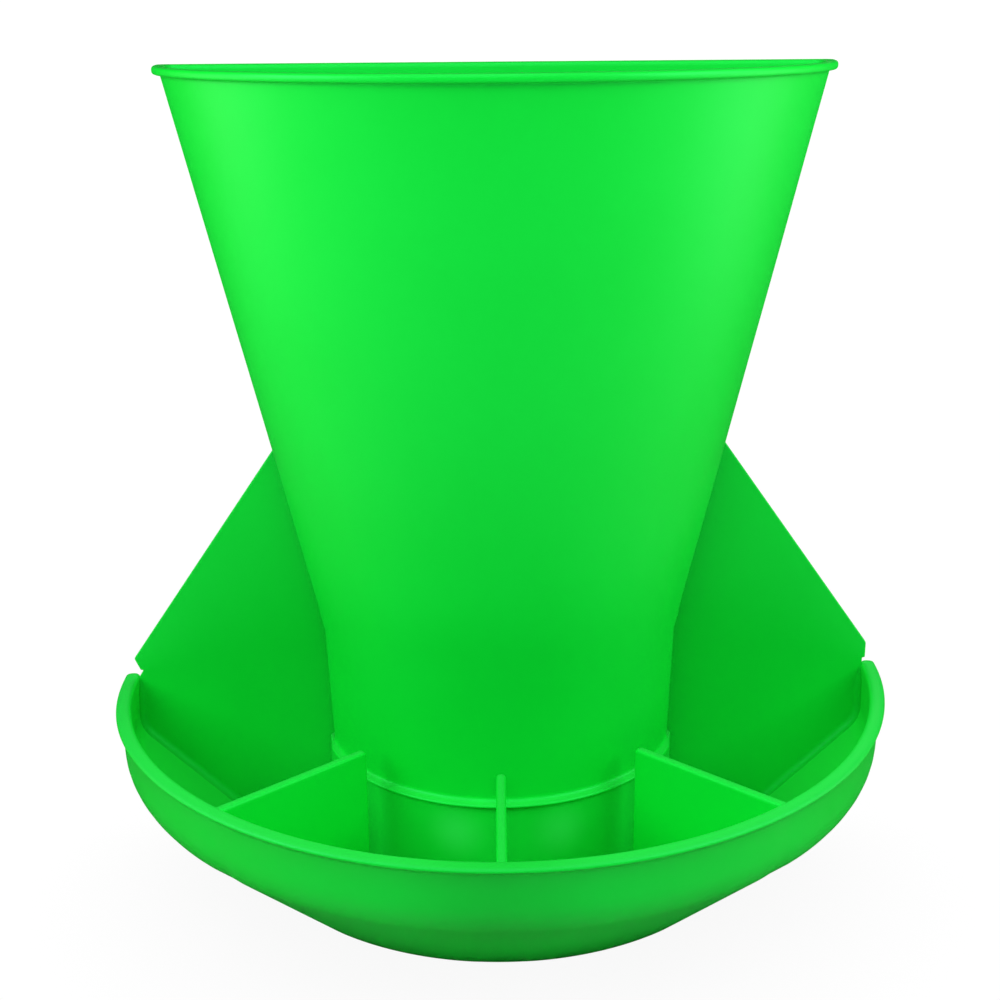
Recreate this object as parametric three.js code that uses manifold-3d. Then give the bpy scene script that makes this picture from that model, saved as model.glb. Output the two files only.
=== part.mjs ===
// Half-round gravity feeder for poultry, with a flat back that goes against a wall or a fence.
// Feed is poured into the tapered hopper, runs down its neck into a collar and comes out through
// four low windows, one for each compartment of the tray.
//
// Units are millimetres. +Z is up, +X is to the right and -Y is the front, where the birds feed.
// The origin is the middle of the footprint, on the ground. Hopper, collar and tray are all round
// about one vertical axis that lies in the plane of the flat back. Every piece is drawn about that
// axis, and the group at the end moves them all back by AXIS_Y.
//
// Pieces: tray_bowl, back_panel, collar and three dividers stand still; the hopper lifts straight out.

import * as THREE from 'three';
import { mergeVertices } from 'three/addons/utils/BufferGeometryUtils.js';
import Module from 'manifold-3d';

// ---- driving dimensions --------------------------------------------------------------------------

const GAP = 0.3;                 // clearance between neighbouring pieces
const ROUND_STEPS = 96;          // facets in a full turn

// tray
const RIM_R = 150;               // outer edge of the rolled rim: half of the overall width
const RIM_TOP_Z = 68;
const RIM_HEIGHT = 3.6;          // height of the rolled rim
const WALL_R = 147.2;            // outside of the upright wall
const WALL_INNER_TOP_R = 143.8;  // inside of the wall at the rim
const SHOULDER_INNER_R = 144.7;  // inside of the wall where it meets the sloping skirt
const SHOULDER_Z = 45.2;
const BASE_R = 100.4;            // flat base, outside
const FLOOR_R = 101;             // flat floor, inside
const FLOOR_Z = 3;               // thickness of the floor

// back panel
const PANEL_THICKNESS = 2.5;
const EAR_HALF_WIDTH = 145.4;    // the panel's widest place, just above the rim
const EAR_BOTTOM_Z = 70;
const EAR_TOP_Z = 76.5;
const PANEL_TOP_Z = 232;
const PANEL_EDGE_SLOPE = 0.707;  // how far the sloping edge goes in for each unit of height
const PANEL_CORNER_R = 12;
const KEYHOLE_Z = 212;           // centre of the keyhole's round part
const KEYHOLE_R = 5;
const KEYHOLE_SLOT_HALF = 2.5;
const KEYHOLE_SLOT_TOP_Z = 222;

// hopper
const TOP_Z = 300.5;             // overall height
const HOPPER_WALL = 2;
const HOPPER_BACK_Y = -8.2;      // outside of the flat back
const MOUTH_R = 116.2;           // outside of the wall at the top
const TAPER_END_R = 72.5;        // the straight taper ends here and curves into the neck
const TAPER_END_Z = 107;
const NECK_BEND_R = 69;          // where the lines of the taper and of the neck would cross
const NECK_BEND_Z = 91;
const NECK_TOP_R = 68.6;
const NECK_TOP_Z = 80;
const NECK_R = 67.2;             // outside of the neck at the stop ring
const SPIGOT_R = 66.2;           // outside of the part below the ring, which enters the collar
const SPIGOT_BOTTOM_Z = 27;
const BEAD_R = 118.5;            // rolled bead round the mouth
const BEAD_HEIGHT = 2.7;
const BEAD_BACK_Y = -6;
const RING_R = 70;               // stop ring that sits on the collar
const RING_BOTTOM_Z = 43.3;
const RING_TOP_Z = 45.4;
const RING_BACK_Y = -14;          // the ring runs round the front only
const BEAD_ROUND = 1.2;
const RING_ROUND = 0.6;
const STEP_Z = (RING_BOTTOM_Z + RING_TOP_Z) / 2;

// collar
const COLLAR_R = 68.4;
const COLLAR_WALL = 1.8;
const COLLAR_TOP_Z = 43;
const COLLAR_BACK_Y = -5.9;
const WINDOW_TOP_Z = 16;
const WINDOW_HALF_WIDTH = 15;
const WINDOW_DEPTH = 14;         // through the round wall only, clear of the flat back wall
const WINDOW_AZIMUTHS = [-65, -20.3, 20.3, 65];

// dividers
const DIVIDER_THICKNESS = 3.4;
const DIVIDER_INNER_R = 76.5;
const DIVIDER_INNER_TOP_Z = 61.5;
const DIVIDER_CORNER_R = 2;
const DIVIDER_AZIMUTHS = { divider_left: -40.6, divider_centre: 0, divider_right: 40.6 };

const AXIS_Y = RIM_R / 2;        // brings the middle of the depth to the origin
const FAR = 400;                 // larger than the whole object

// inside of the tray from the floor up to the rim, as [radius, height]
const TRAY_INSIDE = [
  [FLOOR_R - 1, FLOOR_Z],
  [FLOOR_R + 0.6, FLOOR_Z + 0.3],
  [SHOULDER_INNER_R - 0.9, SHOULDER_Z - 1.4],
  [SHOULDER_INNER_R, SHOULDER_Z + 0.6],
  [WALL_INNER_TOP_R, RIM_TOP_Z - 0.8],
];
// the same line for the edge of a plate that stands in the tray, clear of it by about GAP
const EDGE_CLEARANCE = 0.45;
const PLATE_EDGE = TRAY_INSIDE.map(
  ([radius, height]) => [radius - EDGE_CLEARANCE, Math.max(height, FLOOR_Z + GAP)],
);

// ---- solids --------------------------------------------------------------------------------------

const wasm = await Module();
wasm.setup();

function toSolid(geometry) {
  const bare = geometry.clone();
  bare.deleteAttribute('normal');
  bare.deleteAttribute('uv');
  const merged = mergeVertices(bare, 1e-4);
  const index = merged.index.array;
  const corners = [];
  for (let i = 0; i < index.length; i += 3) {
    const [a, b, c] = [index[i], index[i + 1], index[i + 2]];
    if (a !== b && b !== c && c !== a) corners.push(a, b, c);
  }
  return new wasm.Manifold(new wasm.Mesh({
    numProp: 3,
    vertProperties: new Float32Array(merged.attributes.position.array),
    triVerts: new Uint32Array(corners),
  }));
}

function toGeometry(solid) {
  const mesh = solid.getMesh();
  const geometry = new THREE.BufferGeometry();
  geometry.setAttribute('position', new THREE.BufferAttribute(new Float32Array(mesh.vertProperties), 3));
  geometry.setIndex(new THREE.BufferAttribute(new Uint32Array(mesh.triVerts), 1));
  geometry.computeVertexNormals();
  return geometry;
}

// a solid turned about the vertical axis, from [radius, height] points that start and end on it
function turned(profile) {
  const points = profile.map(([radius, height]) => new THREE.Vector2(radius, height));
  const lathe = new THREE.LatheGeometry(points, ROUND_STEPS);
  lathe.rotateX(Math.PI / 2);
  return toSolid(lathe);
}

function block(x0, x1, y0, y1, z0, z1) {
  const box = new THREE.BoxGeometry(x1 - x0, y1 - y0, z1 - z0);
  box.translate((x0 + x1) / 2, (y0 + y1) / 2, (z0 + z1) / 2);
  return toSolid(box);
}

// everything in front of the plane y = backY
function inFrontOf(backY) {
  return block(-FAR, FAR, -FAR, backY, -FAR, FAR);
}

// D-shaped plate: a disc about the axis, cut flat at backY, with its edge rounded by `round`
function plateD(radius, backY, z0, z1, round) {
  const reach = radius - round;
  const flat = backY - round;
  const start = Math.asin(flat / reach);
  const outline = new THREE.Shape();
  outline.absarc(0, 0, reach, start, -Math.PI - start, true);
  outline.closePath();
  const plate = new THREE.ExtrudeGeometry(outline, {
    depth: z1 - z0 - 2 * round,
    bevelEnabled: true,
    bevelThickness: round,
    bevelSize: round,
    bevelSegments: 2,
    curveSegments: ROUND_STEPS / 2,
  });
  plate.translate(0, 0, z0 + round);
  return toSolid(plate);
}

// ---- pieces --------------------------------------------------------------------------------------

function trayBowl() {
  const rimBottom = RIM_TOP_Z - RIM_HEIGHT;
  const profile = [
    [0, 0],
    [BASE_R - 1.5, 0],
    [BASE_R, 0.5],
    [WALL_R - 0.8, SHOULDER_Z - 1],
    [WALL_R, SHOULDER_Z + 1],
    [WALL_R + 0.4, rimBottom],
    [RIM_R - 0.8, rimBottom + 0.3],
    [RIM_R, rimBottom + 1.3],
    [RIM_R, RIM_TOP_Z - 1.3],
    [RIM_R - 1.3, RIM_TOP_Z - 0.2],
    [RIM_R - 3, RIM_TOP_Z],
    [WALL_INNER_TOP_R + 0.8, RIM_TOP_Z],
    ...[...TRAY_INSIDE].reverse(),
    [0, FLOOR_Z],
  ];
  return turned(profile).intersect(inFrontOf(0));
}

function backPanel() {
  const edgeX = (z) => EAR_HALF_WIDTH - PANEL_EDGE_SLOPE * (z - EAR_TOP_Z);
  const topX = edgeX(PANEL_TOP_Z);
  const cornerZ = PANEL_TOP_Z - PANEL_CORNER_R;
  const tongueX = WALL_INNER_TOP_R - EDGE_CLEARANCE;
  const outline = new THREE.Shape();
  outline.moveTo(0, FLOOR_Z + GAP);
  for (const [x, z] of PLATE_EDGE) outline.lineTo(x, z);
  outline.lineTo(tongueX, EAR_BOTTOM_Z);
  outline.lineTo(EAR_HALF_WIDTH, EAR_BOTTOM_Z);
  outline.lineTo(EAR_HALF_WIDTH, EAR_TOP_Z);
  outline.lineTo(edgeX(cornerZ), cornerZ);
  outline.quadraticCurveTo(topX, PANEL_TOP_Z, topX - PANEL_CORNER_R, PANEL_TOP_Z);
  outline.lineTo(PANEL_CORNER_R - topX, PANEL_TOP_Z);
  outline.quadraticCurveTo(-topX, PANEL_TOP_Z, -edgeX(cornerZ), cornerZ);
  outline.lineTo(-EAR_HALF_WIDTH, EAR_TOP_Z);
  outline.lineTo(-EAR_HALF_WIDTH, EAR_BOTTOM_Z);
  outline.lineTo(-tongueX, EAR_BOTTOM_Z);
  for (const [x, z] of [...PLATE_EDGE].reverse()) outline.lineTo(-x, z);
  outline.closePath();

  // keyhole: the nail's head goes through the round part and the slot drops over its shank
  const halfAngle = Math.asin(KEYHOLE_SLOT_HALF / KEYHOLE_R);
  const keyhole = new THREE.Path();
  keyhole.absarc(0, KEYHOLE_Z, KEYHOLE_R, Math.PI / 2 - halfAngle, Math.PI / 2 + halfAngle, true);
  keyhole.absarc(0, KEYHOLE_SLOT_TOP_Z, KEYHOLE_SLOT_HALF, Math.PI, 0, true);
  keyhole.closePath();
  outline.holes.push(keyhole);

  const panel = new THREE.ExtrudeGeometry(outline, {
    depth: PANEL_THICKNESS, bevelEnabled: false, curveSegments: 12,
  });
  panel.rotateX(Math.PI / 2);
  return toSolid(panel);
}

function collar() {
  const bottomZ = FLOOR_Z + GAP;
  const innerR = COLLAR_R - COLLAR_WALL;
  const outside = turned([[0, bottomZ], [COLLAR_R, bottomZ], [COLLAR_R, COLLAR_TOP_Z], [0, COLLAR_TOP_Z]]);
  const inside = turned([[0, -FAR], [innerR, -FAR], [innerR, FAR], [0, FAR]]);
  let wall = outside.intersect(inFrontOf(COLLAR_BACK_Y))
    .subtract(inside.intersect(inFrontOf(COLLAR_BACK_Y - COLLAR_WALL)));
  for (const azimuth of WINDOW_AZIMUTHS) {
    const window = new THREE.BoxGeometry(2 * WINDOW_HALF_WIDTH, WINDOW_DEPTH, WINDOW_TOP_Z);
    window.translate(0, -COLLAR_R, WINDOW_TOP_Z / 2);
    window.rotateZ(THREE.MathUtils.degToRad(azimuth));
    wall = wall.subtract(toSolid(window));
  }
  return wall;
}

function divider(azimuth) {
  const outline = new THREE.Shape();
  outline.moveTo(DIVIDER_INNER_R, FLOOR_Z + GAP);
  for (const [radius, z] of PLATE_EDGE) outline.lineTo(radius, z);
  outline.lineTo(DIVIDER_INNER_R + DIVIDER_CORNER_R, DIVIDER_INNER_TOP_Z);
  outline.quadraticCurveTo(
    DIVIDER_INNER_R, DIVIDER_INNER_TOP_Z, DIVIDER_INNER_R, DIVIDER_INNER_TOP_Z - DIVIDER_CORNER_R,
  );
  outline.closePath();
  const plate = new THREE.ExtrudeGeometry(outline, {
    depth: DIVIDER_THICKNESS, bevelEnabled: false, curveSegments: 4,
  });
  plate.translate(0, 0, -DIVIDER_THICKNESS / 2);
  plate.applyMatrix4(new THREE.Matrix4().makeBasis(
    new THREE.Vector3(0, -1, 0), new THREE.Vector3(0, 0, 1), new THREE.Vector3(-1, 0, 0),
  ));
  plate.rotateZ(THREE.MathUtils.degToRad(azimuth));
  return toSolid(plate);
}

// line of the hopper's round wall from bottomZ up to topZ, moved in towards the axis by `inset`
function hopperProfile(inset, bottomZ, topZ) {
  const bend = new THREE.QuadraticBezierCurve(
    new THREE.Vector2(NECK_TOP_R, NECK_TOP_Z),
    new THREE.Vector2(NECK_BEND_R, NECK_BEND_Z),
    new THREE.Vector2(TAPER_END_R, TAPER_END_Z),
  ).getPoints(5).map((point) => [point.x, point.y]);
  const wall = [
    [SPIGOT_R, bottomZ],
    [SPIGOT_R, STEP_Z - 0.5],
    [NECK_R, STEP_Z + 0.5],
    ...bend,
    [MOUTH_R, TOP_Z - BEAD_HEIGHT / 2],
    [MOUTH_R, topZ],
  ].map(([radius, z]) => [radius - inset, z]);
  return [[0, bottomZ], ...wall, [0, topZ]];
}

function hopper() {
  const shell = turned(hopperProfile(0, SPIGOT_BOTTOM_Z, TOP_Z - BEAD_HEIGHT / 2))
    .intersect(inFrontOf(HOPPER_BACK_Y));
  const cavity = turned(hopperProfile(HOPPER_WALL, -FAR, FAR))
    .intersect(inFrontOf(HOPPER_BACK_Y - HOPPER_WALL));
  return shell
    .add(plateD(BEAD_R, BEAD_BACK_Y, TOP_Z - BEAD_HEIGHT, TOP_Z, BEAD_ROUND))
    .add(plateD(RING_R, RING_BACK_Y, RING_BOTTOM_Z, RING_TOP_Z, RING_ROUND))
    .subtract(cavity);
}

// ---- assembly ------------------------------------------------------------------------------------

const plastic = {
  hopper: { color: 0x1fd93f, roughness: 0.34, metalness: 0 },
  tray: { color: 0x14c736, roughness: 0.38, metalness: 0 },
  panel: { color: 0x10bd30, roughness: 0.42, metalness: 0 },
  divider: { color: 0x10d238, roughness: 0.4, metalness: 0 },
};

const feeder = new THREE.Group();
feeder.position.y = AXIS_Y;

function addPiece(name, solid, look) {
  const mesh = new THREE.Mesh(toGeometry(solid), new THREE.MeshStandardMaterial(plastic[look]));
  mesh.name = name;
  feeder.add(mesh);
}

addPiece('tray_bowl', trayBowl(), 'tray');
addPiece('back_panel', backPanel(), 'panel');
addPiece('collar', collar(), 'tray');
for (const [name, azimuth] of Object.entries(DIVIDER_AZIMUTHS)) {
  addPiece(name, divider(azimuth), 'divider');
}
addPiece('hopper', hopper(), 'hopper');

export default feeder;
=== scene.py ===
# Looks of the half-round poultry feeder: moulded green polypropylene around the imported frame.
#
# Everything is in metres in the row frame: +Z up, +X to the right, -Y to the front. Hopper, collar and
# tray are round about one vertical axis in the plane of the flat back, at y = AXIS_Y. Shapes are drawn
# about that axis first, and `placed` moves them onto it.

import math

import bmesh
import bpy
from mathutils import Matrix, Vector, noise


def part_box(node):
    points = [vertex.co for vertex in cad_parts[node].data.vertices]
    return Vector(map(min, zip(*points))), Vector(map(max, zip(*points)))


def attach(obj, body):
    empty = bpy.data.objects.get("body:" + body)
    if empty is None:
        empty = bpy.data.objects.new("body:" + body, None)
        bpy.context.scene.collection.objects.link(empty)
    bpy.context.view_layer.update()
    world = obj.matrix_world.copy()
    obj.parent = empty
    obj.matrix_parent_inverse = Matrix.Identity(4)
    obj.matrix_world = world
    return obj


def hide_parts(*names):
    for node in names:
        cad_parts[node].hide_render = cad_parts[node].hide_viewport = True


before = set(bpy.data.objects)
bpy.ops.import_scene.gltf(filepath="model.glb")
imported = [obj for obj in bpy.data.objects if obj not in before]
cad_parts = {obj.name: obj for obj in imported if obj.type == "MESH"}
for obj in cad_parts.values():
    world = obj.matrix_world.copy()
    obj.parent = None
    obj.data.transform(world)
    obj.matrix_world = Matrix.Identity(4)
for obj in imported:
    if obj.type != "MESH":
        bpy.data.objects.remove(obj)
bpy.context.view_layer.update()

MM = 0.001

# ---- sizes read from the frame -------------------------------------------------------------------

tray_lo, tray_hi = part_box("tray_bowl")
panel_lo, panel_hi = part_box("back_panel")
hopper_lo, hopper_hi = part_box("hopper")
collar_lo, collar_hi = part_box("collar")
centre_lo, centre_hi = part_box("divider_centre")

AXIS_Y = tray_hi.y                        # the axis lies in the plane of the flat back
RIM_R = (tray_hi.x - tray_lo.x) / 2
RIM_TOP_Z = tray_hi.z
PANEL_THICKNESS = panel_hi.y - panel_lo.y
PANEL_TOP_Z = panel_hi.z
EAR_HALF_WIDTH = panel_hi.x
TOP_Z = hopper_hi.z
BEAD_R = AXIS_Y - hopper_lo.y
BEAD_BACK = AXIS_Y - hopper_hi.y
SPIGOT_BOTTOM_Z = hopper_lo.z
COLLAR_R = AXIS_Y - collar_lo.y
COLLAR_BACK = AXIS_Y - collar_hi.y
COLLAR_TOP_Z = collar_hi.z
DIVIDER_THICKNESS = centre_hi.x - centre_lo.x
DIVIDER_INNER_R = AXIS_Y - centre_hi.y
DIVIDER_RIM_Z = centre_hi.z

# ---- sizes of the mouldings ----------------------------------------------------------------------

# tray
RIM_CROWN = 2.4 * MM                      # easing of both upper edges of the rim
RIM_INNER_R = 143.9 * MM
RIM_CROWN_R = 148.6 * MM                  # outer edge of the crown, above the nose of the lip
RIM_NOSE_DROP = 1.5 * MM                  # from the crown down to the outermost point of the lip
WALL_R = 147.2 * MM
SHOULDER_INNER_R = 144.7 * MM
SHOULDER_Z = 45.2 * MM
BASE_R = 100.4 * MM
FLOOR_R = 101.3 * MM
FLOOR_Z = 3 * MM
TRAY_EDGE_ROUND = 0.6 * MM                # rounding of the edges round the flat back
WARP = 1.5 * MM                           # how high one back corner stands, and how low the other
TRAY_BACK_STEP = 0.12 * MM                # the panel's back stands this far behind the tray's
SINK_DEPTH = 0.55 * MM                    # hollow outside the wall, opposite each divider
SINK_HALF_WIDTH = 6 * MM

# back panel
EAR_BOTTOM_Z = 70 * MM
EAR_TOP_Z = 76.5 * MM
LEFT_EAR_CUT = 2.2 * MM                   # trimmed off the left ear underneath, down to a point
LEFT_EAR_DROP = 1.5 * MM                  # and that ear's tip hangs this much lower
EDGE_TOP_GAP = 2 * MM                     # the panel follows the tray's inside up to here,
TONGUE_R = 144.3 * MM                     # then runs up at this radius to the ear
TONGUE_TOP_GAP = 1.5 * MM
PANEL_FOOT_R = 60 * MM                    # the tray's inside is followed from here outwards
PANEL_EDGE_SLOPE = 0.707                  # inwards for each unit of height
PANEL_CORNER_R = 12 * MM
KEYHOLE_Z = 212 * MM
KEYHOLE_R = 5 * MM
KEYHOLE_SLOT_HALF = 2.5 * MM
KEYHOLE_SLOT_TOP_Z = 222 * MM
PANEL_ROUND = 0.5 * MM
PANEL_FILLET_R = 2.4 * MM
PANEL_FILLET_FROM_R = 76 * MM
PANEL_FILLET_TOP_GAP = 0.4 * MM           # left free under the top of the rim

# hopper
HOPPER_WALL = 2 * MM
HOPPER_BACK = 8.2 * MM                    # the flat back stands this far in front of the axis
TAPER_END_R = 72.5 * MM
TAPER_END_Z = 107 * MM
NECK_BEND_R = 69 * MM
NECK_BEND_Z = 91 * MM
NECK_BEND_EASE = 14 * MM
NECK_R = 67.2 * MM
NECK_SLOPE = 0.04                         # the neck widens by this much for each unit of height
SPIGOT_R = 66.2 * MM
WALL_TOP_R = 115.84 * MM                  # outside of the wall just under the bead
BEAD_HEIGHT = 2.7 * MM
RING_R = 70 * MM
RING_FULL_Y = -24 * MM                    # the ring is whole in front of this,
RING_END_Y = -13 * MM                     # and has died out into the neck here
RING_BOTTOM_Z = 43.3 * MM
RING_TOP_Z = 45.4 * MM
RING_SLOPE_DROP = 1.1 * MM                # the ring's top slopes down outwards by this much
HOPPER_CORNER_R = 4 * MM                  # between the round front and the flat back
HOPPER_INNER_CORNER_R = 2.5 * MM
HOPPER_SWELL = 0.25 * MM                  # unevenness of the moulded faces
HOPPER_SWELL_SCALE = 14                   # swells in a metre

# collar
COLLAR_WALL = 1.8 * MM
COLLAR_CORNER_R = 3.5 * MM
COLLAR_INNER_CORNER_R = 2.2 * MM
COLLAR_SUNK = 0.3 * MM                    # how far the collar's foot reaches into the floor
COLLAR_EDGE_ROUND = 0.8 * MM
WINDOW_TOP_Z = 16 * MM
WINDOW_HALF_WIDTH = 15 * MM
WINDOW_DEPTH = 14 * MM                    # cuts the round wall only, clear of the flat back
WINDOW_ROUND = 5 * MM
WINDOW_AZIMUTHS = (-65, -20.3, 20.3, 65)

# dividers
DIVIDER_INNER_TOP_Z = 61.5 * MM
DIVIDER_CORNER_R = 2 * MM
DIVIDER_ROUND = 1.3 * MM
DIVIDER_SUNK = 0.9 * MM                   # how far a divider reaches into the tray
DIVIDER_FILLET_R = 2 * MM
DIVIDER_AZIMUTHS = {"divider_left": -40.6, "divider_centre": 0.0, "divider_right": 40.6}

# what the pieces share
SUNK = 0.5 * MM                           # how far a moulded-on piece reaches into its neighbour
FILLET_FADE = 6 * MM                      # a fillet dies out over this height under the rim
MERGE_DISTANCE = 0.004 * MM
SHARP_ANGLE = math.radians(35)

# inside of the tray, from the floor up to the rim, as (radius, height, easing of the corner)
TRAY_INSIDE = [
    (FLOOR_R, FLOOR_Z, 3 * MM),
    (SHOULDER_INNER_R, SHOULDER_Z, 6 * MM),
    (RIM_INNER_R, RIM_TOP_Z, RIM_CROWN),
]

# ---- drawing help --------------------------------------------------------------------------------


def eased(corners, closed=True, steps=6, longest=7 * MM):
    """Points along the line through corners, where each corner (*point, ease) is rounded off.

    Straight stretches are split up, so that no step is longer than `longest`."""
    count = len(corners)
    points = []
    for i, corner in enumerate(corners):
        here = corner[:-1]
        ease = corner[-1]
        at_end = not closed and i in (0, count - 1)
        if ease == 0 or at_end:
            points.append(here)
            continue
        before = corners[i - 1][:-1]
        after = corners[(i + 1) % count][:-1]
        start = towards(here, before, ease)
        stop = towards(here, after, ease)
        for k in range(steps + 1):
            t = k / steps
            points.append(tuple(
                (1 - t) ** 2 * a + 2 * t * (1 - t) * b + t ** 2 * c
                for a, b, c in zip(start, here, stop)
            ))
    return split(points, closed, longest)


def towards(point, other, distance):
    """The point that far along the way from point to other, and no further than halfway."""
    length = math.dist(point, other)
    share = min(distance / length, 0.5)
    return tuple(a + (b - a) * share for a, b in zip(point, other))


def split(points, closed, longest):
    """The line with points put in, so that no step is longer than `longest`."""
    result = []
    stretches = len(points) if closed else len(points) - 1
    for i in range(stretches):
        a = points[i]
        b = points[(i + 1) % len(points)]
        parts = max(1, math.ceil(math.dist(a, b) / longest))
        for k in range(parts):
            result.append(tuple(p + (q - p) * k / parts for p, q in zip(a, b)))
    if not closed:
        result.append(points[-1])
    return result


def polar(radius, azimuth):
    """A point about the axis; azimuth 0 is the front and 90 degrees is +X."""
    return radius * math.sin(azimuth), -radius * math.cos(azimuth)


def d_outline(radius, back, corner):
    """Closed D about the axis, as (x, y): an arc in front, a flat `back` in front of the axis."""
    flat_steps, corner_steps, arc_steps = 32, 8, 208
    centre_x = math.sqrt((radius - corner) ** 2 - (back + corner) ** 2)
    turn = math.atan2(back + corner, centre_x)
    points = []
    for k in range(flat_steps):
        points.append((centre_x * (2 * k / flat_steps - 1), -back))
    for k in range(corner_steps):
        angle = math.pi / 2 - (math.pi / 2 + turn) * k / corner_steps
        points.append((
            centre_x + corner * math.cos(angle),
            -back - corner + corner * math.sin(angle),
        ))
    for k in range(arc_steps):
        angle = -turn - (math.pi - 2 * turn) * k / arc_steps
        points.append((radius * math.cos(angle), radius * math.sin(angle)))
    for k in range(corner_steps):
        angle = math.pi + turn - (math.pi / 2 + turn) * k / corner_steps
        points.append((
            -centre_x + corner * math.cos(angle),
            -back - corner + corner * math.sin(angle),
        ))
    return points


def ramp(value, start, stop):
    """0 up to start, 1 from stop on, and a smooth step between them."""
    share = min(max((value - start) / (stop - start), 0), 1)
    return share * share * (3 - 2 * share)


def uneven(point, scale, depth):
    """Slow swell of a moulded face, from 0 to `depth`."""
    return depth * (0.5 + 0.5 * noise.noise(Vector(point) * scale))


def piece_from(name, vertices, faces):
    """A smooth-shaded mesh object about the axis, which `placed` moves to the row frame."""
    mesh = bpy.data.meshes.new(name)
    mesh.from_pydata([Vector(v) for v in vertices], [], faces)
    return finished(name, mesh)


def finished(name, mesh):
    """Merges the mesh's doubled points, faces it outwards and makes an object of it."""
    bm = bmesh.new()
    bm.from_mesh(mesh)
    bmesh.ops.remove_doubles(bm, verts=bm.verts, dist=MERGE_DISTANCE)
    bmesh.ops.recalc_face_normals(bm, faces=bm.faces)
    bm.to_mesh(mesh)
    bm.free()
    piece = bpy.data.objects.new(name, mesh)
    bpy.context.scene.collection.objects.link(piece)
    smooth(mesh)
    return piece


def smooth(mesh):
    """Smooth shading, apart from edges sharper than SHARP_ANGLE."""
    mesh.shade_smooth()
    mesh.set_sharp_from_angle(angle=SHARP_ANGLE)


def looped(rings):
    """Faces of a grid whose rings are closed and whose last ring joins the first."""
    return grid_faces(len(rings), len(rings[0]), around=True, along=True)


def grid_faces(ring_count, ring_size, around, along):
    """Four-sided faces between neighbouring rings, closed around each ring or along them if asked."""
    faces = []
    for i in range(ring_count if along else ring_count - 1):
        j = (i + 1) % ring_count
        for k in range(ring_size if around else ring_size - 1):
            m = (k + 1) % ring_size
            faces.append((i * ring_size + k, i * ring_size + m, j * ring_size + m, j * ring_size + k))
    return faces


def placed(piece):
    """Moves a mesh drawn about the axis to the row frame."""
    piece.data.transform(Matrix.Translation((0, AXIS_Y, 0)))
    return piece


def cooled(piece):
    """Lifts one end of the tray's back and drops the other, as the moulding warped on cooling."""
    for vertex in piece.data.vertices:
        x, y, z = vertex.co
        at_back = ramp(y, -0.2 * AXIS_Y, AXIS_Y)
        above_floor = min(max((z - FLOOR_Z) / (RIM_TOP_Z - FLOOR_Z), 0), 1)
        vertex.co.z += WARP * x / RIM_R * at_back * above_floor
    return piece


def joined(first, *others):
    """Puts the meshes of the others into the first."""
    bm = bmesh.new()
    bm.from_mesh(first.data)
    for other in others:
        bm.from_mesh(other.data)
    bm.to_mesh(first.data)
    bm.free()
    for other in others:
        mesh = other.data
        bpy.data.objects.remove(other)
        bpy.data.meshes.remove(mesh)
    return first


def cut(piece, cutter):
    """Takes cutter's volume out of piece."""
    change = piece.modifiers.new("cut", "BOOLEAN")
    change.operation = "DIFFERENCE"
    change.solver = "EXACT"
    change.object = cutter
    bpy.context.view_layer.update()
    depsgraph = bpy.context.evaluated_depsgraph_get()
    mesh = bpy.data.meshes.new_from_object(piece.evaluated_get(depsgraph))
    piece.modifiers.clear()
    old = piece.data
    piece.data = mesh
    bpy.data.meshes.remove(old)
    bpy.data.objects.remove(cutter)
    return piece


# ---- pieces --------------------------------------------------------------------------------------


def make_hopper():
    """One thin shell: spigot, stop ring, neck, taper and rolled bead, then back down the inside."""
    inner_back = HOPPER_BACK + HOPPER_WALL
    outer, inner = HOPPER_CORNER_R, HOPPER_INNER_CORNER_R
    slope = (WALL_TOP_R - TAPER_END_R) / (TOP_Z - BEAD_HEIGHT - TAPER_END_Z)
    mouth_inner_r = WALL_TOP_R - HOPPER_WALL + slope * BEAD_HEIGHT
    # (radius, back, corner radius, height, easing)
    corners = [
        (SPIGOT_R, HOPPER_BACK, outer, SPIGOT_BOTTOM_Z, 0.9 * MM),
        (SPIGOT_R, HOPPER_BACK, outer, RING_BOTTOM_Z, 0.3 * MM),
        (RING_R, HOPPER_BACK, outer, RING_BOTTOM_Z, 1 * MM),
        (RING_R, HOPPER_BACK, outer, RING_TOP_Z - RING_SLOPE_DROP, 0.7 * MM),
        (NECK_R + 0.1 * MM, HOPPER_BACK, outer, RING_TOP_Z + 0.1 * MM, 1.4 * MM),
        (NECK_BEND_R, HOPPER_BACK, outer, NECK_BEND_Z, NECK_BEND_EASE),
        (WALL_TOP_R, HOPPER_BACK, outer, TOP_Z - BEAD_HEIGHT, 0.9 * MM),
        (BEAD_R, BEAD_BACK, inner, TOP_Z - BEAD_HEIGHT, 1.4 * MM),
        (BEAD_R, BEAD_BACK, inner, TOP_Z, 1.9 * MM),
        (mouth_inner_r, inner_back, inner, TOP_Z, 1.9 * MM),
        (NECK_BEND_R - HOPPER_WALL, inner_back, inner, NECK_BEND_Z, NECK_BEND_EASE),
        (SPIGOT_R - HOPPER_WALL, inner_back, inner, SPIGOT_BOTTOM_Z, 0.9 * MM),
    ]
    rings = []
    for radius, back, corner, z in eased(corners):
        ring = []
        for x, y in d_outline(radius, back, corner):
            pull = uneven((x, y, z), HOPPER_SWELL_SCALE, HOPPER_SWELL)
            if z < NECK_BEND_Z and y < -HOPPER_BACK:
                away = ramp(y, RING_FULL_Y, RING_END_Y)
                pull += away * max(radius - NECK_R - (z - RING_TOP_Z) * NECK_SLOPE, 0)
            share = 1 - pull / radius
            ring.append((x * share, y * share, z))
        rings.append(ring)
    vertices = [point for ring in rings for point in ring]
    return placed(piece_from("hopper_shell", vertices, looped(rings)))


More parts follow.
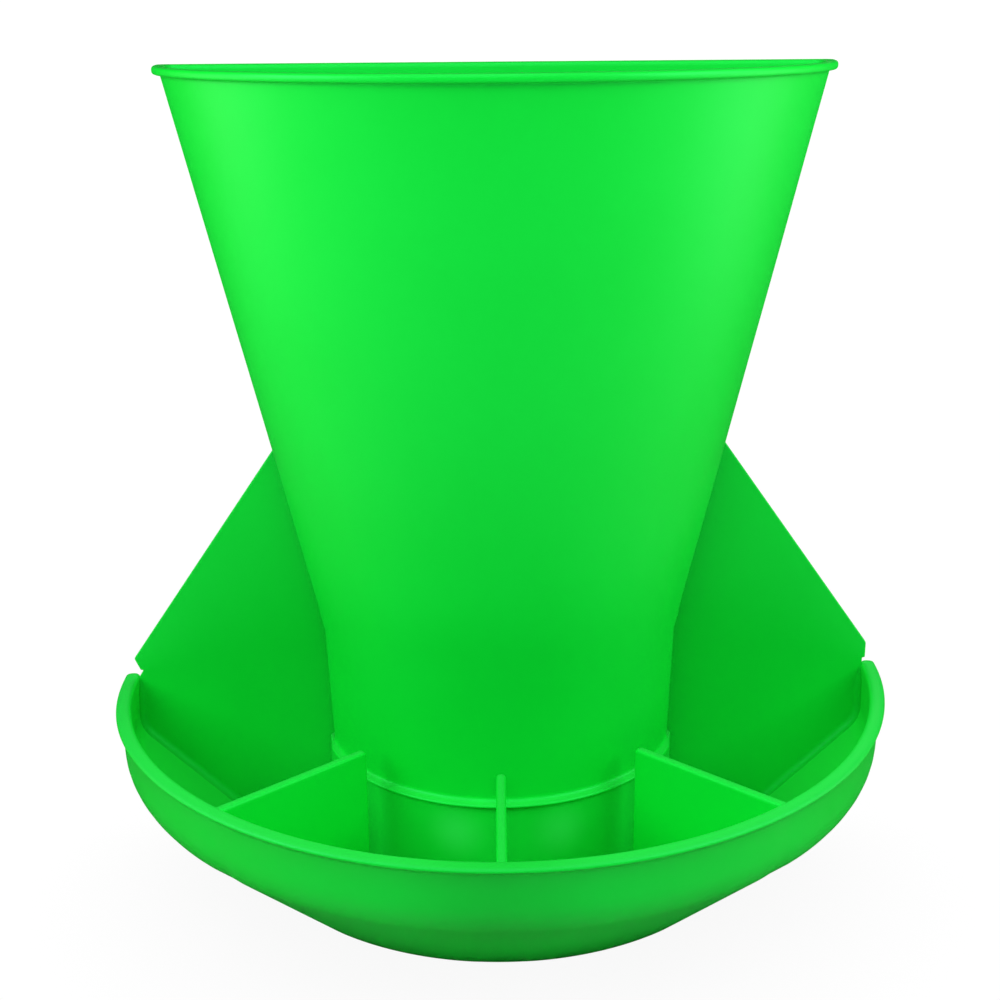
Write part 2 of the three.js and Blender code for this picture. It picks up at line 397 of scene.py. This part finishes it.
def tray_profile():
    """The tray's section from the middle of the floor over the rim to the middle of the base."""
    nose_z = RIM_TOP_Z - RIM_NOSE_DROP
    return eased([
        (0, FLOOR_Z, 0),
        *TRAY_INSIDE,
        (RIM_CROWN_R, RIM_TOP_Z, RIM_CROWN),
        (RIM_R, nose_z, 1.2 * MM),
        (WALL_R + 1.1 * MM, nose_z - 1.1 * MM, 1.4 * MM),
        (WALL_R + 0.3 * MM, nose_z - 6.5 * MM, 4 * MM),
        (WALL_R, SHOULDER_Z, 7.5 * MM),
        (BASE_R, 0, 1.2 * MM),
        (0, 0, 0),
    ], closed=False)


def normals_2d(points):
    """Left-hand unit normal at each point of an open line."""
    result = []
    for i in range(len(points)):
        a = points[max(i - 1, 0)]
        b = points[min(i + 1, len(points) - 1)]
        length = math.dist(a, b)
        result.append(((a[1] - b[1]) / length, (b[0] - a[0]) / length))
    return result


def sink(radius, z, azimuth):
    """How far the outside of the tray is drawn in where the plastic shrank over a divider."""
    if radius < BASE_R:
        return 0
    depth = 0
    for centre in DIVIDER_AZIMUTHS.values():
        across = (azimuth - math.radians(centre)) * radius / SINK_HALF_WIDTH
        depth += SINK_DEPTH * math.exp(-across ** 2)
    return depth


def make_tray_bowl():
    """Half a turned bowl. Its fan of sections starts TRAY_EDGE_ROUND in front of the back plane, and
    the last stretch up to the back plane rounds the edges off."""
    profile = tray_profile()
    normals = normals_2d(profile)
    rim_at = max(range(len(profile)), key=lambda i: profile[i][0])
    fan_steps, round_steps = 320, 4
    rounding = TRAY_EDGE_ROUND
    rings = []

    def end_ring(side, t):
        """Section drawn in by the rounding, t = 0 at the fan and 1 at the back plane."""
        inset = rounding * (1 - math.cos(t * math.pi / 2))
        y = -TRAY_BACK_STEP - rounding * (1 - math.sin(t * math.pi / 2))
        ring = []
        for (radius, z), (across, up) in zip(profile, normals):
            reach = math.sqrt(max(radius ** 2 - rounding ** 2, 0))
            if radius > 0:
                reach -= across * inset
            ring.append((side * reach, y, z - up * inset))
        return ring

    for k in range(round_steps):
        rings.append(end_ring(-1, 1 - k / round_steps))
    for k in range(fan_steps + 1):
        azimuth = math.pi * (k / fan_steps - 0.5)
        ring = []
        for i, (radius, z) in enumerate(profile):
            if i > rim_at:
                radius -= sink(radius, z, azimuth)
            offset = rounding + TRAY_BACK_STEP
            reach = -offset * math.cos(azimuth)
            reach += math.sqrt(max(radius ** 2 - (offset * math.sin(azimuth)) ** 2, 0))
            x, y = polar(max(reach, 0), azimuth)
            ring.append((x, y - offset, z))
        rings.append(ring)
    for k in range(round_steps):
        rings.append(end_ring(1, (k + 1) / round_steps))

    size = len(profile)
    vertices = [point for ring in rings for point in ring]
    faces = grid_faces(len(rings), size, around=False, along=False)
    last = (len(rings) - 1) * size
    faces += section_faces(rings[0], 0)
    faces += section_faces(rings[-1], last)
    return placed(piece_from("tray_shell", vertices, faces))


def section_faces(ring, first):
    """Triangles across a cut section, zipped up between its two sides from the axis to the rim."""
    faces = []
    near, far = 0, len(ring) - 1
    while far - near > 1:
        if math.dist(ring[near + 1], ring[far]) < math.dist(ring[near], ring[far - 1]):
            faces.append((first + near, first + near + 1, first + far))
            near += 1
        else:
            faces.append((first + near, first + far - 1, first + far))
            far -= 1
    return faces


def plate(name, outlines, thickness, edge_round):
    """Flat plate from closed outlines of (across, up) points, with rounded edges. The first is the
    outer edge and the others are holes. It lies in its own XY plane, centred on it."""
    curve = bpy.data.curves.new(name, "CURVE")
    curve.dimensions = "2D"
    curve.fill_mode = "BOTH"
    curve.extrude = thickness / 2 - edge_round
    curve.bevel_depth = edge_round
    curve.bevel_resolution = 3
    curve.offset = -edge_round
    for outline in outlines:
        spline = curve.splines.new("POLY")
        spline.points.add(len(outline) - 1)
        for point, (across, up) in zip(spline.points, outline):
            point.co = (across, up, 0, 1)
        spline.use_cyclic_u = True
    holder = bpy.data.objects.new(name, curve)
    bpy.context.scene.collection.objects.link(holder)
    bpy.context.view_layer.update()
    mesh = bpy.data.meshes.new_from_object(holder)
    bpy.data.objects.remove(holder)
    bpy.data.curves.remove(curve)
    mesh.name = name
    return finished(name, mesh)


def evened(piece):
    """Shades the flat faces of a plate flat, whatever its rounded edges do."""
    flats = piece.modifiers.new("even_flats", "WEIGHTED_NORMAL")
    flats.keep_sharp = True
    return piece


def inside_line(first_radius, top_z):
    """The tray's inside as (radius, height) points from first_radius on the floor up to top_z."""
    line = eased([(first_radius, FLOOR_Z, 0), *TRAY_INSIDE, (RIM_R, RIM_TOP_Z, 0)], closed=False)
    return [(radius, z) for radius, z in line if z < top_z]


def fillet(name, line, plane, full_radius, azimuth, side):
    """Concave strip between the tray's inside and an upright plane face, dying out under the rim.

    The plane stands `plane` beside the vertical plane at azimuth, on the given side of it."""
    arc_steps = 7
    top_z = line[-1][1]
    out = Vector((*polar(1, azimuth), 0))
    aside = Vector((*polar(1, azimuth + math.pi / 2), 0)) * side
    up = Vector((0, 0, 1))
    vertices = []
    for (wall_r, wall_z), (across, rise) in zip(line, normals_2d(line)):
        radius = full_radius * (1.05 - ramp(wall_z, top_z - FILLET_FADE, top_z))
        centre_r = wall_r + across * radius
        centre_aside = plane + radius
        centre_out = math.sqrt(centre_r ** 2 - centre_aside ** 2)
        centre = out * centre_out + aside * centre_aside + up * (wall_z + rise * radius)
        share = wall_r / centre_r
        wall_point = (out * centre_out + aside * centre_aside) * share + up * wall_z
        to_plane = -aside
        to_wall = (wall_point - centre).normalized()
        for k in range(arc_steps + 1):
            direction = to_plane.slerp(to_wall, k / arc_steps)
            vertices.append(centre + direction * radius)
        vertices.append(wall_point + to_wall * SUNK)
        corner = out * wall_r + aside * (plane - SUNK) + up * wall_z
        vertices.append(corner + to_wall * SUNK)
        vertices.append(centre + to_plane * (radius + SUNK))
    size = arc_steps + 4
    faces = grid_faces(len(line), size, around=True, along=False)
    last = (len(line) - 1) * size
    faces.append(list(range(size)))
    faces.append([last + k for k in range(size)])
    return piece_from(name, vertices, faces)


def make_back_panel():
    """Flat panel with sloping edges, pointed ears over the ends of the rim, and a keyhole."""
    top_x = EAR_HALF_WIDTH - PANEL_EDGE_SLOPE * (PANEL_TOP_Z - EAR_TOP_Z)
    line = inside_line(PANEL_FOOT_R, EAR_BOTTOM_Z)
    edge = [(radius + SUNK, max(z, FLOOR_Z + SUNK)) for radius, z in line]
    edge = [(x, z) for x, z in edge if z < RIM_TOP_Z - EDGE_TOP_GAP]
    sides = []
    for trim, ear_z in ((0, EAR_TOP_Z), (LEFT_EAR_CUT, EAR_TOP_Z - LEFT_EAR_DROP)):
        sides.append(eased([
            *[(x, z, 0) for x, z in edge],
            (TONGUE_R, RIM_TOP_Z - TONGUE_TOP_GAP, 0),
            (TONGUE_R - trim, EAR_BOTTOM_Z, 0.6 * MM),
            (EAR_HALF_WIDTH - trim, EAR_BOTTOM_Z, 0.5 * MM),
            (EAR_HALF_WIDTH, ear_z, 0.7 * MM),
            (top_x, PANEL_TOP_Z, PANEL_CORNER_R),
            (0, PANEL_TOP_Z, 0),
        ], closed=False, longest=1)[:-1])
    right, left = sides
    outline = right + [(-x, z) for x, z in reversed(left)]

    panel = plate("back_panel_plate", [outline, keyhole_outline()], PANEL_THICKNESS, PANEL_ROUND)
    panel.data.transform(Matrix.Rotation(math.pi / 2, 4, "X"))
    panel.data.transform(Matrix.Translation((0, -PANEL_THICKNESS / 2, 0)))
    line = inside_line(PANEL_FILLET_FROM_R, RIM_TOP_Z - PANEL_FILLET_TOP_GAP)
    strips = [
        fillet("strip", line, PANEL_THICKNESS, PANEL_FILLET_R, side * math.pi / 2, -side)
        for side in (-1, 1)
    ]
    return evened(placed(joined(panel, *strips)))


def keyhole_outline():
    """A round hole with a narrower slot above it, for hanging the feeder on a screw."""
    hole_steps, slot_steps = 40, 16
    half_angle = math.asin(KEYHOLE_SLOT_HALF / KEYHOLE_R)
    points = []
    for k in range(hole_steps + 1):
        angle = math.pi / 2 - half_angle - (2 * math.pi - 2 * half_angle) * k / hole_steps
        points.append((KEYHOLE_R * math.cos(angle), KEYHOLE_Z + KEYHOLE_R * math.sin(angle)))
    for k in range(slot_steps + 1):
        angle = math.pi * (1 - k / slot_steps)
        points.append((
            KEYHOLE_SLOT_HALF * math.cos(angle),
            KEYHOLE_SLOT_TOP_Z + KEYHOLE_SLOT_HALF * math.sin(angle),
        ))
    return points


def make_collar():
    """The D-shaped wall round the foot of the hopper, with a feed window into each compartment."""
    inner_r = COLLAR_R - COLLAR_WALL
    inner_back = COLLAR_BACK + COLLAR_WALL
    outer, inner = COLLAR_CORNER_R, COLLAR_INNER_CORNER_R
    foot = FLOOR_Z - COLLAR_SUNK
    corners = [
        (COLLAR_R, COLLAR_BACK, outer, foot, 0),
        (COLLAR_R, COLLAR_BACK, outer, COLLAR_TOP_Z, COLLAR_EDGE_ROUND),
        (inner_r, inner_back, inner, COLLAR_TOP_Z, COLLAR_EDGE_ROUND),
        (inner_r, inner_back, inner, foot, 0),
    ]
    rings = []
    for radius, back, corner, z in eased(corners):
        rings.append([(x, y, z) for x, y in d_outline(radius, back, corner)])
    vertices = [point for ring in rings for point in ring]
    wall = piece_from("collar_wall", vertices, looped(rings))
    for azimuth in WINDOW_AZIMUTHS:
        cut(wall, window_cutter(math.radians(azimuth)))
    smooth(wall.data)
    return placed(wall)


def window_cutter(azimuth):
    """Upright block with a round-cornered top, through the round wall of the collar only."""
    below = -10 * MM
    outline = eased([
        (-WINDOW_HALF_WIDTH, below, 0),
        (WINDOW_HALF_WIDTH, below, 0),
        (WINDOW_HALF_WIDTH, WINDOW_TOP_Z, WINDOW_ROUND),
        (-WINDOW_HALF_WIDTH, WINDOW_TOP_Z, WINDOW_ROUND),
    ], longest=1)
    out = Vector((*polar(1, azimuth), 0))
    aside = Vector((*polar(1, azimuth + math.pi / 2), 0))
    vertices = []
    for reach in (COLLAR_R - WINDOW_DEPTH / 2, COLLAR_R + WINDOW_DEPTH / 2):
        vertices += [out * reach + aside * across + Vector((0, 0, z)) for across, z in outline]
    size = len(outline)
    faces = grid_faces(2, size, around=True, along=False)
    faces.append(list(range(size)))
    faces.append([size + k for k in range(size)])
    return piece_from("window_cutter", vertices, faces)


def make_divider(name, azimuth_degrees):
    """Upright plate from just short of the collar to the wall of the tray, filleted to the tray."""
    azimuth = math.radians(azimuth_degrees)
    line = inside_line(DIVIDER_INNER_R, DIVIDER_RIM_Z)
    edge = [(radius + DIVIDER_SUNK, z - DIVIDER_SUNK / 2) for radius, z in line[1:]]
    outline = eased([
        (DIVIDER_INNER_R, FLOOR_Z - DIVIDER_SUNK / 2, 0),
        *[(radius, z, 0) for radius, z in edge],
        (RIM_INNER_R + RIM_CROWN / 2, DIVIDER_RIM_Z, 0),
        (DIVIDER_INNER_R, DIVIDER_INNER_TOP_Z, DIVIDER_CORNER_R),
    ], longest=1)
    divider = plate(f"{name}_plate", [outline], DIVIDER_THICKNESS, DIVIDER_ROUND)
    out = Vector((*polar(1, azimuth), 0))
    aside = Vector((*polar(1, azimuth + math.pi / 2), 0))
    up = Vector((0, 0, 1))
    turn = Matrix((out, up, -aside)).transposed().to_4x4()
    divider.data.transform(turn)
    strips = [
        fillet("strip", line, DIVIDER_THICKNESS / 2, DIVIDER_FILLET_R, azimuth, side)
        for side in (-1, 1)
    ]
    return evened(placed(joined(divider, *strips)))


# ---- materials -----------------------------------------------------------------------------------


def plastic(name, light, dark, roughness, grain, inside=None, top_shade=0.75, painted_spots=()):
    """Moulded polypropylene: slow colour drift, uneven gloss and a fine grain in the surface.

    Faces turned to the axis can be painted a colour of their own, `inside`, as painted light that
    makes them lighter than the outside.
    Faces that look straight up are painted a darker, paler green, as painted shade and sheen, by the
    share given for it.
    Soft spots of painted light and shade can be laid on, each with its place, colour, reach and
    strength."""
    material = bpy.data.materials.new(name)
    material.use_nodes = True
    nodes, links = material.node_tree.nodes, material.node_tree.links
    shader = nodes["Principled BSDF"]
    shader.inputs["IOR"].default_value = 1.49
    shader.inputs["Specular IOR Level"].default_value = 0.4
    shader.inputs["Specular Tint"].default_value = (0.2, 1.0, 0.75, 1)

    place = nodes.new("ShaderNodeTexCoord")
    surface = nodes.new("ShaderNodeNewGeometry")

    def mixed(below, above, share):
        mix = nodes.new("ShaderNodeMix")
        mix.data_type = "RGBA"
        links.new(below, mix.inputs["A"])
        if isinstance(above, tuple):
            mix.inputs["B"].default_value = (*above, 1)
        else:
            links.new(above, mix.inputs["B"])
        links.new(share, mix.inputs["Factor"])
        return mix.outputs["Result"]

    def mapped(value, start, stop, least, most):
        change = nodes.new("ShaderNodeMapRange")
        change.interpolation_type = "SMOOTHSTEP"
        change.inputs["From Min"].default_value = start
        change.inputs["From Max"].default_value = stop
        change.inputs["To Min"].default_value = least
        change.inputs["To Max"].default_value = most
        links.new(value, change.inputs["Value"])
        return change.outputs["Result"]

    def vector_sum(operation, first, second):
        node = nodes.new("ShaderNodeVectorMath")
        node.operation = operation
        for socket, value in zip(node.inputs, (first, second)):
            if isinstance(value, tuple):
                socket.default_value = value
            elif value is not None:
                links.new(value, socket)
        return node.outputs

    drift = nodes.new("ShaderNodeTexNoise")
    drift.inputs["Scale"].default_value = 9
    drift.inputs["Detail"].default_value = 3
    links.new(place.outputs["Object"], drift.inputs["Vector"])

    tone = nodes.new("ShaderNodeValToRGB")
    tone.color_ramp.elements[0].position = 0.3
    tone.color_ramp.elements[0].color = (*dark, 1)
    tone.color_ramp.elements[1].position = 0.7
    tone.color_ramp.elements[1].color = (*light, 1)
    links.new(drift.outputs["Fac"], tone.inputs["Fac"])
    colour = tone.outputs["Color"]

    # painted light: faces turned to the axis are mixed towards the lighter inside colour
    if inside:
        out = vector_sum("MULTIPLY", surface.outputs["Position"], (1, 1, 0))["Vector"]
        out = vector_sum("SUBTRACT", out, (0, AXIS_Y, 0))["Vector"]
        out = vector_sum("NORMALIZE", out, None)["Vector"]
        turned_out = vector_sum("DOT_PRODUCT", out, surface.outputs["Normal"])["Value"]
        colour = mixed(colour, inside, mapped(turned_out, -0.4, 0.4, 1, 0))

    # painted shade and sheen: faces that look up are mixed towards a darker, paler green
    upright = nodes.new("ShaderNodeSeparateXYZ")
    links.new(surface.outputs["Normal"], upright.inputs["Vector"])
    colour = mixed(colour, UP_FACE_SHADE, mapped(upright.outputs["Z"], 0.55, 0.98, 0, top_shade))

    # painted light and shade: soft spots mixed into the colour, fading with distance
    for spot, spot_colour, reach, strength in painted_spots:
        away = vector_sum("DISTANCE", place.outputs["Object"], spot)["Value"]
        colour = mixed(colour, spot_colour, mapped(away, 0, reach, strength, 0))
    links.new(colour, shader.inputs["Base Color"])

    links.new(
        mapped(drift.outputs["Fac"], 0, 1, roughness - 0.05, roughness + 0.07),
        shader.inputs["Roughness"],
    )

    fine = nodes.new("ShaderNodeTexNoise")
    fine.inputs["Scale"].default_value = 900
    fine.inputs["Detail"].default_value = 2
    links.new(place.outputs["Object"], fine.inputs["Vector"])
    bump = nodes.new("ShaderNodeBump")
    bump.inputs["Strength"].default_value = grain
    bump.inputs["Distance"].default_value = 0.1 * MM
    links.new(fine.outputs["Fac"], bump.inputs["Height"])
    links.new(bump.outputs["Normal"], shader.inputs["Normal"])
    return material


def spot_on(radius, azimuth_degrees, z):
    """A place on a round wall of that radius, in the row frame."""
    x, y = polar(radius, math.radians(azimuth_degrees))
    return x, y + AXIS_Y, z


UP_FACE_SHADE = (0.016, 0.50, 0.050)               # painted shade and sheen for faces that look up: a darker, paler green
PAINTED_HIGHLIGHT = (0.026, 0.66, 0.085)              # painted highlights on the collar
FRONT_SHADE = (0.001, 0.40, 0.012)             # painted shade on the front of the wall, over the middle divider

LOOKS = {
    "hopper": dict(
        light=(0.002, 0.59, 0.027), dark=(0.001, 0.56, 0.021), roughness=0.44, grain=0.10,
        # share of painted shade and sheen on the hopper's faces that look up
        top_shade=0.4,
    ),
    "tray": dict(
        light=(0.001, 0.51, 0.021), dark=(0.001, 0.48, 0.016), roughness=0.46, grain=0.12,
        # painted light: the tray's faces turned to the axis are coloured lighter than its outside
        inside=(0.012, 0.76, 0.052),
        # painted shade: a soft dark spot on the front of the tray's wall
        painted_spots=((spot_on(WALL_R, 0, 46 * MM), FRONT_SHADE, 42 * MM, 0.8),),
    ),
    "collar": dict(
        light=(0.005, 0.58, 0.034), dark=(0.003, 0.55, 0.026), roughness=0.46, grain=0.12,
        # painted highlights: two soft reflections on the collar's front
        painted_spots=(
            (spot_on(COLLAR_R, -14, 32 * MM), PAINTED_HIGHLIGHT, 14 * MM, 0.65),
            (spot_on(COLLAR_R, 18.5, 32 * MM), PAINTED_HIGHLIGHT, 14 * MM, 0.55),
        ),
    ),
    "panel": dict(
        light=(0.002, 0.52, 0.022), dark=(0.001, 0.49, 0.018), roughness=0.50, grain=0.25,
    ),
    "divider": dict(
        light=(0.001, 0.65, 0.028), dark=(0.001, 0.62, 0.022), roughness=0.46, grain=0.12,
    ),
}
materials = {look: plastic(f"green_plastic_{look}", **values) for look, values in LOOKS.items()}


def fit(piece, node, body, slot, look=None):
    """Gives the piece its plastic, hides the frame's part that it stands in for, and puts it under its
    body.
    """
    piece.data.materials.clear()
    piece.data.materials.append(materials[look or slot])
    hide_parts(node)
    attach(piece, body)


# ---- surroundings --------------------------------------------------------------------------------

FLOOR_REACH = 6.0
LIT_MIDDLE = Vector((0, 0.03, 0.15))      # what the lights aim at
CAMERA_PLACE = (-0.0001, AXIS_Y - 0.5473, 0.3155)


def make_floor():
    """Stage floor: it lights the feeder as pale card would, and the camera sees it glowing nearly
    white, with a soft contact shadow painted in from ambient occlusion.
    """
    mesh = bpy.data.meshes.new("floor")
    corners = [(-1, -1), (1, -1), (1, 1), (-1, 1)]
    mesh.from_pydata([(FLOOR_REACH * x, FLOOR_REACH * y, 0) for x, y in corners], [], [(0, 1, 2, 3)])
    floor = bpy.data.objects.new("floor", mesh)
    bpy.context.scene.collection.objects.link(floor)
    floor.location.z = -0.2 * MM
    material = bpy.data.materials.new("pale_floor")
    material.use_nodes = True
    nodes, links = material.node_tree.nodes, material.node_tree.links
    shader = nodes["Principled BSDF"]
    shader.inputs["Base Color"].default_value = (0.80, 0.80, 0.80, 1)
    shader.inputs["Roughness"].default_value = 0.9
    shader.inputs["Specular IOR Level"].default_value = 0.1
    glow = nodes.new("ShaderNodeEmission")
    glow.inputs["Color"].default_value = (1, 1, 1, 1)
    # painted shadow: the floor's glow is dimmed where ambient occlusion finds the feeder close by
    shade = nodes.new("ShaderNodeAmbientOcclusion")
    shade.inputs["Distance"].default_value = 0.12
    shade.samples = 8
    strength = nodes.new("ShaderNodeMapRange")
    strength.inputs["To Min"].default_value = 0.92
    strength.inputs["To Max"].default_value = 1.02
    seen = nodes.new("ShaderNodeLightPath")
    dim = nodes.new("ShaderNodeBsdfDiffuse")
    dim.inputs["Color"].default_value = (0.03, 0.03, 0.03, 1)
    mirrored = nodes.new("ShaderNodeMixShader")
    pick = nodes.new("ShaderNodeMixShader")
    links.new(seen.outputs["Is Glossy Ray"], mirrored.inputs["Fac"])
    links.new(shader.outputs["BSDF"], mirrored.inputs[1])
    links.new(dim.outputs["BSDF"], mirrored.inputs[2])
    links.new(shade.outputs["AO"], strength.inputs["Value"])
    links.new(strength.outputs["Result"], glow.inputs["Strength"])
    links.new(seen.outputs["Is Camera Ray"], pick.inputs["Fac"])
    links.new(mirrored.outputs["Shader"], pick.inputs[1])
    links.new(glow.outputs["Emission"], pick.inputs[2])
    links.new(pick.outputs["Shader"], nodes["Material Output"].inputs["Surface"])
    mesh.materials.append(material)


def make_world():
    """White behind the feeder for the camera, and nearly dark for everything else."""
    world = bpy.data.worlds.new("studio")
    world.use_nodes = True
    nodes, links = world.node_tree.nodes, world.node_tree.links
    surround = nodes["Background"]
    surround.inputs["Color"].default_value = (1, 1, 1, 1)
    surround.inputs["Strength"].default_value = 0.03
    white = nodes.new("ShaderNodeBackground")
    white.inputs["Color"].default_value = (1, 1, 1, 1)
    white.inputs["Strength"].default_value = 1.05
    seen = nodes.new("ShaderNodeLightPath")
    pick = nodes.new("ShaderNodeMixShader")
    links.new(seen.outputs["Is Camera Ray"], pick.inputs["Fac"])
    links.new(surround.outputs["Background"], pick.inputs[1])
    links.new(white.outputs["Background"], pick.inputs[2])
    links.new(pick.outputs["Shader"], nodes["World Output"].inputs["Surface"])
    bpy.context.scene.world = world


def softbox(name, place, width, height, power, glossy=True):
    """Rectangular lamp at the place, turned to the feeder. The camera doesn't see it."""
    light = bpy.data.lights.new(name, "AREA")
    light.shape = "RECTANGLE"
    light.size = width
    light.size_y = height
    light.energy = power
    holder = bpy.data.objects.new(name, light)
    holder.location = place
    holder.visible_camera = False
    holder.visible_glossy = glossy
    holder.rotation_euler = (LIT_MIDDLE - place).to_track_quat("-Z", "Y").to_euler()
    bpy.context.scene.collection.objects.link(holder)


def around(azimuth, elevation, distance):
    """A place at that distance from LIT_MIDDLE, with azimuth 0 in front and 90 degrees at +X."""
    x, y = polar(distance * math.cos(math.radians(elevation)), math.radians(azimuth))
    return Vector((x, y, distance * math.sin(math.radians(elevation)))) + LIT_MIDDLE


def make_lights():
    softbox("front_softbox", around(-9, 36, 1.0), 0.8, 0.5, 4.1)
    softbox("overhead_softbox", around(0, 70, 1.0), 0.5, 0.5, 3.0)
    softbox("left_softbox", around(-60, 25, 0.5), 0.28, 0.28, 1.8)
    softbox("right_softbox", around(60, 29, 0.5), 0.28, 0.28, 1.6)
    softbox("left_low_softbox", around(-92, 8, 0.5), 0.28, 0.28, 0.45)
    softbox("right_low_softbox", around(88, 6, 0.5), 0.28, 0.28, 0.65)
    softbox("back_softbox", around(172, 24, 1.1), 0.9, 0.6, 8, glossy=False)


def make_camera():
    """Stands just over half a metre in front, a little above the hopper's mouth, and looks down."""
    pitch = math.radians(17.98)
    yaw = math.radians(0.07)
    roll = math.radians(-0.461)
    camera = bpy.data.cameras.new("camera")
    camera.sensor_width = 36
    camera.lens = 53.68
    camera.clip_start = 0.01
    holder = bpy.data.objects.new("camera", camera)
    turn = (
        Matrix.Rotation(-yaw, 4, "Z")
        @ Matrix.Rotation(math.pi / 2 - pitch, 4, "X")
        @ Matrix.Rotation(roll, 4, "Z")
    )
    holder.matrix_world = Matrix.Translation(CAMERA_PLACE) @ turn
    bpy.context.scene.collection.objects.link(holder)
    bpy.context.scene.camera = holder


# ---- the scene -----------------------------------------------------------------------------------

make_camera()
fit(make_hopper(), "hopper", "hopper", "hopper")
fit(cooled(make_tray_bowl()), "tray_bowl", "tray", "tray")
fit(cooled(make_back_panel()), "back_panel", "tray", "panel")
fit(make_collar(), "collar", "tray", "tray", look="collar")
for node, azimuth in DIVIDER_AZIMUTHS.items():
    fit(cooled(make_divider(node, azimuth)), node, "tray", "divider")
make_floor()
make_world()
make_lights()
bpy.context.scene.view_settings.view_transform = "Standard"
